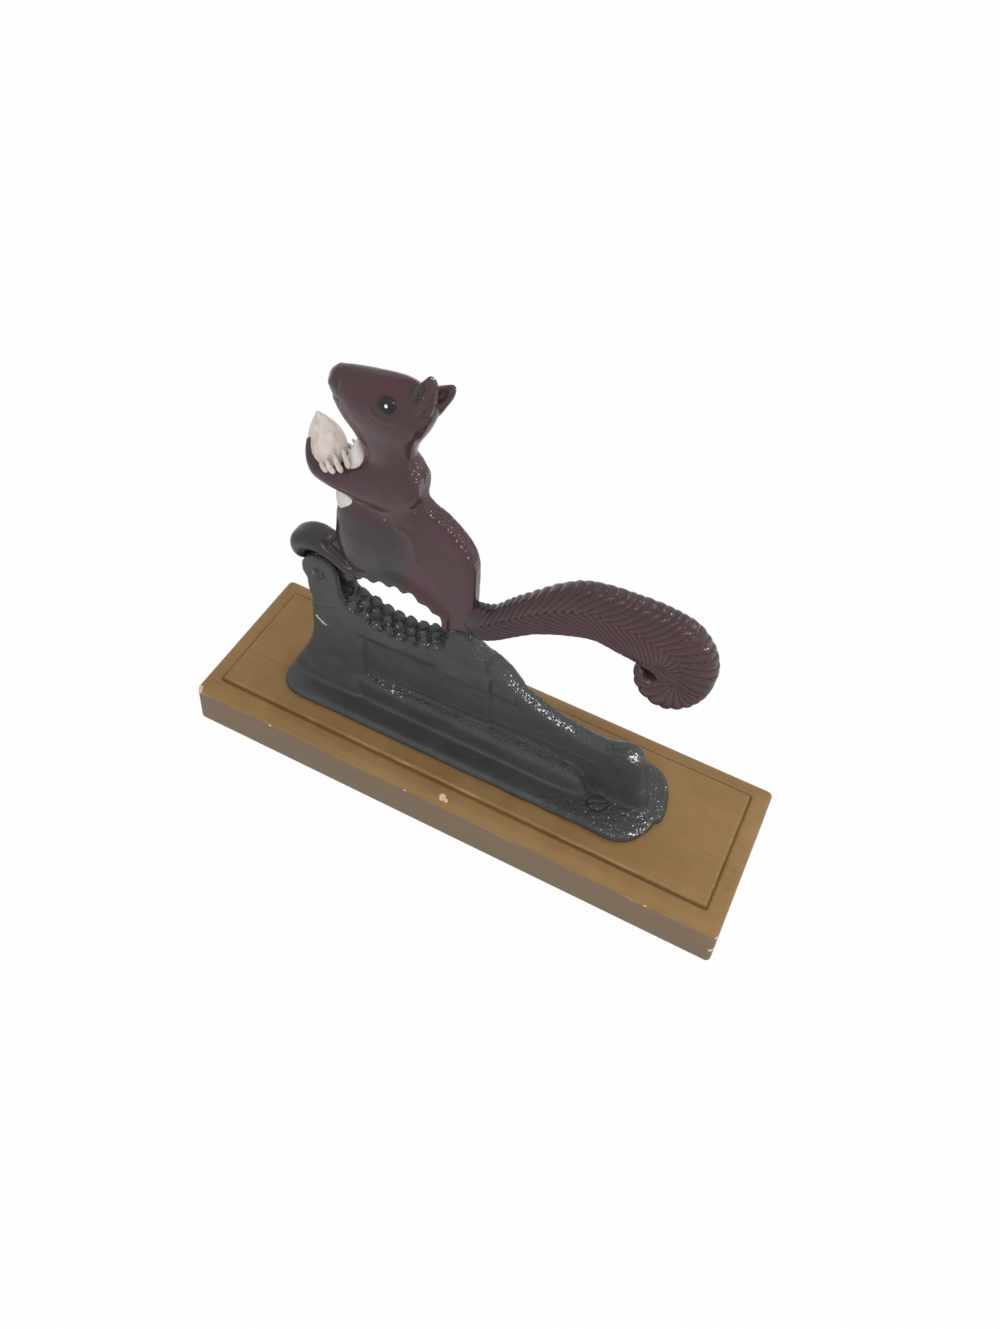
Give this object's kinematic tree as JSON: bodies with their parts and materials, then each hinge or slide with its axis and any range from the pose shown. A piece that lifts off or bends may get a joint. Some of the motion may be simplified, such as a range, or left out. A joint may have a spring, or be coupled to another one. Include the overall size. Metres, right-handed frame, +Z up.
{
  "type": "lever nutcracker press",
  "caption": "Lever nutcracker: a cast squirrel hinged at its feet presses a nut against the knobbed jaw of a cast frame on a wooden plinth.",
  "frame": {"origin": "centre of the plinth's underside", "axes": "+X along the plinth from the jaw end to the tail end, +Y away from the viewer, +Z up"},
  "size_m": [0.296, 0.0888, 0.244],
  "materials": {
    "plinth_wood": "satin bronze-gold paint on wood",
    "frame_enamel": "gloss black enamel on rough casting",
    "squirrel_enamel": "gloss maroon enamel on casting",
    "dark_enamel": "gloss dark brown enamel on casting",
    "silver_paint": "silver-white paint on casting",
    "white_paint": "white paint on casting",
    "eye_paint": "gloss black paint",
    "pin_steel": "steel rivet under black enamel",
    "screw_steel": "steel wood screw under black enamel"
  },
  "bodies": {
    "stand": {"plinth": "plinth_wood", "base_flange": "frame_enamel", "pedestal": "frame_enamel", "upright_web": "frame_enamel", "rear_post": "frame_enamel", "lower_jaw": "frame_enamel", "lever_rest": "frame_enamel", "clevis_ear_near": "frame_enamel", "clevis_ear_far": "frame_enamel", "hinge_pin": "pin_steel", "frame_screws": "screw_steel"},
    "lever": {"foot_knuckle": "dark_enamel", "toes": "dark_enamel", "upper_jaw": "dark_enamel", "torso": "squirrel_enamel", "haunch_near": "dark_enamel", "haunch_far": "dark_enamel", "chest_bib": "white_paint", "arm_near": "squirrel_enamel", "arm_far": "squirrel_enamel", "claws": "silver_paint", "acorn": "silver_paint", "head": "squirrel_enamel", "ear_near": "squirrel_enamel", "ear_far": "squirrel_enamel", "eye_near": "eye_paint", "eye_far": "eye_paint", "tail_handle": "squirrel_enamel"}
  },
  "joints": [
    {"name": "lever_hinge", "type": "hinge", "parent": "stand", "child": "lever", "pos_m": [-0.087, 0, 0.1135], "axis": [0, -1, 0], "range_deg": [0, 70]}
  ]
}
